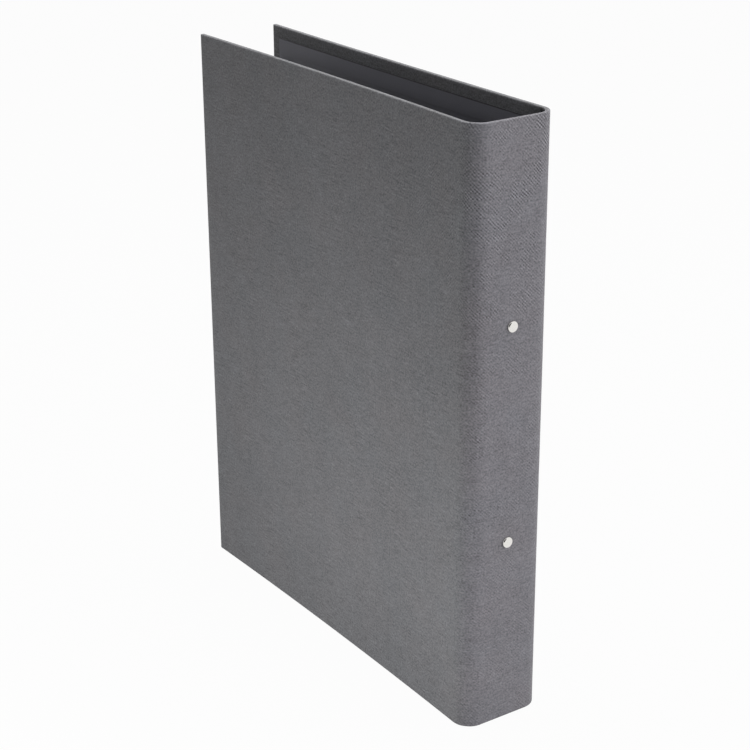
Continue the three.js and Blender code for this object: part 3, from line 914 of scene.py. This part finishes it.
def repeat_up_spine():
    """Geometry Nodes tree that repeats a form at even steps up the spine and gives it its material."""
    tree = bpy.data.node_groups.new("repeat_up_spine", "GeometryNodeTree")
    inputs = {"Geometry": "Geometry", "Form": "Object", "Count": "Int", "Pitch": "Float",
              "First height": "Float", "Material": "Material"}
    for name, kind in inputs.items():
        tree.interface.new_socket(name, in_out="INPUT", socket_type="NodeSocket" + kind)
    tree.interface.new_socket("Geometry", in_out="OUTPUT", socket_type="NodeSocketGeometry")
    given = add(tree, "NodeGroupInput").outputs
    start = add(tree, "ShaderNodeCombineXYZ", {"Z": given["First height"]}).outputs[0]
    step = add(tree, "ShaderNodeCombineXYZ", {"Z": given["Pitch"]}).outputs[0]
    places = add(tree, "GeometryNodeMeshLine", {"Count": given["Count"], "Start Location": start,
                                                "Offset": step})
    form = add(tree, "GeometryNodeObjectInfo", {"Object": given["Form"]}, transform_space="ORIGINAL")
    copies = add(tree, "GeometryNodeInstanceOnPoints", {"Points": places.outputs[0],
                                                       "Instance": form.outputs["Geometry"]})
    real = add(tree, "GeometryNodeRealizeInstances", {0: copies.outputs[0]})
    coated = add(tree, "GeometryNodeSetMaterial", {"Geometry": real.outputs[0],
                                                   "Material": given["Material"]})
    add(tree, "NodeGroupOutput", {0: coated.outputs[0]})
    return tree


def repeated(name, form, count, pitch, first, material):
    """Repeats a form up the spine with the nodes tree and returns the result as a plain mesh."""
    tree = bpy.data.node_groups.get("repeat_up_spine") or repeat_up_spine()
    piece = linked(name, bpy.data.meshes.new(name))
    nodes = piece.modifiers.new("repeat", "NODES")
    nodes.node_group = tree
    values = {"Form": form, "Count": count, "Pitch": pitch, "First height": first, "Material": material}
    for item in tree.interface.items_tree:
        if item.in_out == "INPUT" and item.name in values:
            nodes[item.identifier] = values[item.name]
    apply_modifiers(piece)
    bpy.data.objects.remove(form)
    return piece


def material_named(name, maker, settings):
    return bpy.data.materials.get(name) or maker(settings)


def finish_piece(piece, material):
    piece.data.materials.clear()
    piece.data.materials.append(material)


# Operators

class BINDER_OT_boards(bpy.types.Operator):
    """Gives the boards inside the cloth their pressed pulp"""

    bl_idname = "binder.boards"
    bl_label = "Boards"

    def execute(self, context):
        material = material_named("pressed_grey_board", grey_board, context.scene.binder_case)
        for node in ("spine_board", "back_cover_board", "front_cover_board"):
            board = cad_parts[node]
            board.data.materials.clear()
            board.data.materials.append(material)
        return {"FINISHED"}


def split_at_spine(case):
    """The plan line in two parts that meet on the flat of the spine, beside the front bend."""
    line = plan_line(case)
    split = max(i for i, s in enumerate(line) if s.board_share == s.spine_share == 1)
    return line[:split + 1], line[split:]


def across_hinge(piece):
    """Bakes the piece's transform into its mesh. The cloth and lining are built with their bends between the
    spine and a cover.
    """
    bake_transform(piece)


class BINDER_OT_cloth(bpy.types.Operator):
    """Wraps the boards in book cloth that bends at both hinges"""

    bl_idname = "binder.cloth"
    bl_label = "Book cloth"

    def execute(self, context):
        case = context.scene.binder_case
        material = material_named("linen_book_cloth", book_cloth, case)
        back, front = split_at_spine(case)
        for name, line, last, side, nodes in (
                ("back_book_cloth", back, True, -1, ("back_cover_cloth", "spine_cloth")),
                ("front_book_cloth", front, False, 1, ("front_cover_cloth",))):
            piece, area = build_cloth(case, name, line, last)
            finish_piece(piece, material)
            across_hinge(piece)
            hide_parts(*nodes)
        return {"FINISHED"}


class BINDER_OT_lining(bpy.types.Operator):
    """Lines the covers and the spine with dark paper"""

    bl_idname = "binder.lining"
    bl_label = "Lining paper"

    def execute(self, context):
        case = context.scene.binder_case
        material = material_named("dyed_lining_paper", lining_paper, case)
        back, front = split_at_spine(case)
        for name, line, side, nodes in (
                ("back_lining_paper", back, -1, ("back_cover_lining", "spine_lining")),
                ("front_lining_paper", front, 1, ("front_cover_lining",))):
            piece = build_lining(case, name, line)
            finish_piece(piece, material)
            across_hinge(piece)
            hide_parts(*nodes)
        return {"FINISHED"}


class BINDER_OT_mechanism(bpy.types.Operator):
    """Plates the housing and its two leaves"""

    bl_idname = "binder.mechanism"
    bl_label = "Housing and leaves"

    def execute(self, context):
        material = material_named("nickel_plated_steel", nickel_plate, context.scene.binder_mechanism)
        bodies = {"ring_housing": "spine", "left_leaf": "left_leaf", "right_leaf": "right_leaf"}
        for node, body in bodies.items():
            piece = merged_copy(node, "plated_" + node)
            finish_piece(piece, material)
            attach(piece, body)
            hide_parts(node)
        return {"FINISHED"}


class BINDER_OT_rings(bpy.types.Operator):
    """Bends the four ring halves, two for each leaf"""

    bl_idname = "binder.rings"
    bl_label = "Ring halves"

    def execute(self, context):
        mech = context.scene.binder_mechanism
        material = material_named("nickel_plated_steel", nickel_plate, mech)
        first = SPINE_LOW.z + (SPINE_HIGH.z - SPINE_LOW.z) / 2 - mech.ring_pitch / 2
        for side, word in ((-1, "left"), (1, "right")):
            form = ring_form(mech, word + "_ring_form", side, side < 0)
            piece = repeated(word + "_ring_halves", form, 2, mech.ring_pitch, first, material)
            finish_piece(piece, material)
            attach(piece, word + "_leaf")
            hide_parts(f"upper_ring_{word}_half", f"lower_ring_{word}_half")
        return {"FINISHED"}


def rivet_profile(low, high):
    """Pairs of radius and y: a low head rounded over its edge, the shank, and the lip set over inside."""
    head = (high.x - low.x) / 2
    face = SPINE_LOW.y
    shank, lip = 1.8 * MM, 2.9 * MM
    lip_low = high.y - 0.6 * MM
    crown_end, crown_fall, edge_fall = head * 0.6, 0.02 * MM, 0.06 * MM
    edge_round, lip_round = 1.0 * MM, 0.3 * MM
    profile = [(0, low.y), (crown_end, low.y + crown_fall)]
    profile += rounded((head, low.y + edge_fall), (0, low.y), (head, face), edge_round, 10)
    profile += [(head, face), (shank, face), (shank, lip_low), (lip, lip_low)]
    profile += rounded((lip, high.y), (lip, lip_low), (shank, high.y), lip_round)
    profile += rounded((shank * 0.8, high.y), (lip, high.y), (shank * 0.6, lip_low), lip_round)
    return profile + [(shank * 0.5, lip_low), (0, lip_low - lip_round)]


def spacer_profile(low, high):
    """Pairs of radius and y: a plain ring."""
    outer = (high.x - low.x) / 2
    bore = outer - 1.2 * MM
    return [(bore, low.y), (outer, low.y), (outer, high.y), (bore, high.y), (bore, low.y)]


class BINDER_OT_rivets(bpy.types.Operator):
    """Sets the two rivets and the spacers round them"""

    bl_idname = "binder.rivets"
    bl_label = "Rivets and spacers"

    def execute(self, context):
        mech = context.scene.binder_mechanism
        material = material_named("nickel_plated_steel", nickel_plate, mech)
        first = SPINE_LOW.z + (SPINE_HIGH.z - SPINE_LOW.z) / 2 - mech.rivet_pitch / 2
        form = turned_form("rivet_form", rivet_profile(*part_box("upper_rivet")))
        piece = repeated("rivets", form, 2, mech.rivet_pitch, first, material)
        finish_piece(piece, material)
        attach(piece, "spine")
        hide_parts("upper_rivet", "lower_rivet")
        form = turned_form("spacer_form", spacer_profile(*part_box("upper_spacer")))
        piece = repeated("spacers", form, 2, mech.rivet_pitch, first, material)
        finish_piece(piece, material)
        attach(piece, "spine")
        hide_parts("upper_spacer", "lower_spacer")
        return {"FINISHED"}


def camera_matrix(stage):
    """Place and turn of the camera. Azimuth 0 looks along +Y."""
    azimuth, elevation, roll = (math.radians(a) for a in (stage.azimuth, stage.elevation, stage.roll))
    back = Vector((math.sin(azimuth) * math.cos(elevation), -math.cos(azimuth) * math.cos(elevation),
                   math.sin(elevation)))
    level = Vector((math.cos(azimuth), math.sin(azimuth), 0))
    up = back.cross(level)
    right = level * math.cos(roll) + up * math.sin(roll)
    top = up * math.cos(roll) - level * math.sin(roll)
    turned = Matrix((right, top, back)).transposed().to_4x4()
    place = Vector((stage.camera_x, SPINE_LOW.y + stage.camera_y, stage.camera_z))
    return Matrix.Translation(place) @ turned


def soft_lamp(name, place, target, size, power):
    """A soft lamp that points at target. Metal mirrors the white surroundings and not the lamp."""
    lamp = bpy.data.lights.new(name, "AREA")
    lamp.shape = "RECTANGLE"
    lamp.size, lamp.size_y = size
    lamp.energy = power
    holder = linked(name, lamp)
    holder.location = place
    holder.rotation_mode = "QUATERNION"
    holder.rotation_quaternion = (Vector(target) - Vector(place)).to_track_quat("-Z", "Y")
    holder.visible_glossy = False


def dark_room(stage):
    """The unlit side of the room behind the camera. Only mirrored rays meet it, so bright metal shows it."""
    mesh = bmesh.new()
    bmesh.ops.create_circle(mesh, cap_ends=True, segments=64, radius=stage.room_radius)
    room = new_object("dark_room", mesh)
    away = camera_matrix(stage).to_3x3().col[2]
    room.rotation_mode = "QUATERNION"
    room.rotation_quaternion = away.to_track_quat("Z", "Y")
    room.location = Vector((0, SPINE_LOW.y, stage.room_height)) + away * stage.room_distance
    room.visible_camera = False
    room.visible_diffuse = False
    room.visible_transmission = False
    room.visible_shadow = False
    material = new_material("unlit_room")
    dark = add(material.node_tree, "ShaderNodeEmission", {"Color": rgba(stage.room_colour), "Strength": 1.0})
    surface_output(material.node_tree, dark)
    room.data.materials.append(material)


def seen_or_mirrored(tree):
    """1 for rays that the eye follows, straight or by way of a mirror or glass, and 0 for the others."""
    path = add(tree, "ShaderNodeLightPath").outputs
    mirrored = maths(tree, "MAXIMUM", path["Is Glossy Ray"], path["Is Transmission Ray"])
    return maths(tree, "MAXIMUM", path["Is Camera Ray"], mirrored)


def plain_world(stage):
    """White round the object where it is seen or mirrored, and plain light elsewhere."""
    world = bpy.data.worlds.new("plain_world")
    world.use_nodes = True
    tree = world.node_tree
    tree.nodes.clear()
    seen = seen_or_mirrored(tree)
    lit = add(tree, "ShaderNodeBackground", {"Color": WHITE, "Strength": stage.sky})
    white = add(tree, "ShaderNodeBackground", {"Color": WHITE, "Strength": 1.0})
    mixed = add(tree, "ShaderNodeMixShader", {0: seen, 1: lit.outputs[0], 2: white.outputs[0]})
    add(tree, "ShaderNodeOutputWorld", {"Surface": mixed.outputs[0]})
    bpy.context.scene.world = world


def painted_floor(stage):
    """Matt paint. It lights like mid grey, and is seen as nearly plain white with a faint soft shadow."""
    whiteness = 0.97
    material = new_material("matt_white_paint")
    tree = material.node_tree
    share = times(tree, seen_or_mirrored(tree), whiteness)
    matt = add(tree, "ShaderNodeBsdfDiffuse", {"Color": rgba(stage.floor_colour)})
    white = add(tree, "ShaderNodeEmission", {"Color": WHITE, "Strength": 1.0})
    mixed = add(tree, "ShaderNodeMixShader", {0: share, 1: matt.outputs[0], 2: white.outputs[0]})
    surface_output(tree, mixed)
    return material


class BINDER_OT_stage(bpy.types.Operator):
    """Sets the camera, the soft light and the pale floor"""

    bl_idname = "binder.stage"
    bl_label = "Stage"

    def execute(self, context):
        stage = context.scene.binder_stage
        data = bpy.data.cameras.new("camera")
        data.lens = stage.lens
        data.sensor_width = 36
        data.clip_start = 0.01
        data.clip_end = 50
        camera = linked("camera", data)
        camera.matrix_world = camera_matrix(stage)
        context.scene.camera = camera
        mesh = bmesh.new()
        half_width, drop = 6, 0.1 * MM
        bmesh.ops.create_grid(mesh, x_segments=1, y_segments=1, size=half_width)
        floor = new_object("floor", mesh)
        floor.location.z = SPINE_LOW.z - drop
        floor.data.materials.append(painted_floor(stage))
        soft_lamp("key_lamp", place=(0.7, -1.15, 0.28), target=(0, 0, 0.16), size=(1.3, 0.8), power=stage.key)
        soft_lamp("card_lamp", place=(-0.33, -0.12, 0.05), target=(0, -0.1, 0.05), size=(0.5, 0.07),
                  power=stage.card)
        soft_lamp("top_lamp", place=(0.1, 0.1, 1.25), target=(0, 0, 0.3), size=(0.7, 0.7), power=stage.top)
        plain_world(stage)
        dark_room(stage)
        context.scene.view_settings.view_transform = "Standard"
        return {"FINISHED"}


class BINDER_PT_panel(bpy.types.Panel):
    """Lists the binder's sizes and its building steps"""

    bl_idname = "BINDER_PT_panel"
    bl_label = "Ring Binder"
    bl_space_type = "VIEW_3D"
    bl_region_type = "UI"
    bl_category = "Binder"

    def draw(self, context):
        for group in (context.scene.binder_case, context.scene.binder_mechanism, context.scene.binder_stage):
            box = self.layout.box()
            for name in group.__annotations__:
                box.prop(group, name)
        for step in STEPS:
            self.layout.operator(step.bl_idname)


STEPS = (
    BINDER_OT_stage,
    BINDER_OT_boards,
    BINDER_OT_cloth,
    BINDER_OT_lining,
    BINDER_OT_mechanism,
    BINDER_OT_rings,
    BINDER_OT_rivets,
)
GROUPS = (BinderCase, BinderMechanism, BinderStage)


def register():
    for kind in GROUPS + STEPS + (BINDER_PT_panel,):
        bpy.utils.register_class(kind)
    bpy.types.Scene.binder_case = PointerProperty(type=BinderCase)
    bpy.types.Scene.binder_mechanism = PointerProperty(type=BinderMechanism)
    bpy.types.Scene.binder_stage = PointerProperty(type=BinderStage)


def unregister():
    del bpy.types.Scene.binder_stage
    del bpy.types.Scene.binder_mechanism
    del bpy.types.Scene.binder_case
    for kind in reversed(GROUPS + STEPS + (BINDER_PT_panel,)):
        bpy.utils.unregister_class(kind)


def main():
    register()
    bpy.ops.binder.stage()
    bpy.ops.binder.boards()
    bpy.ops.binder.cloth()
    bpy.ops.binder.lining()
    bpy.ops.binder.mechanism()
    bpy.ops.binder.rings()
    bpy.ops.binder.rivets()


if __name__ == "__main__":
    main()
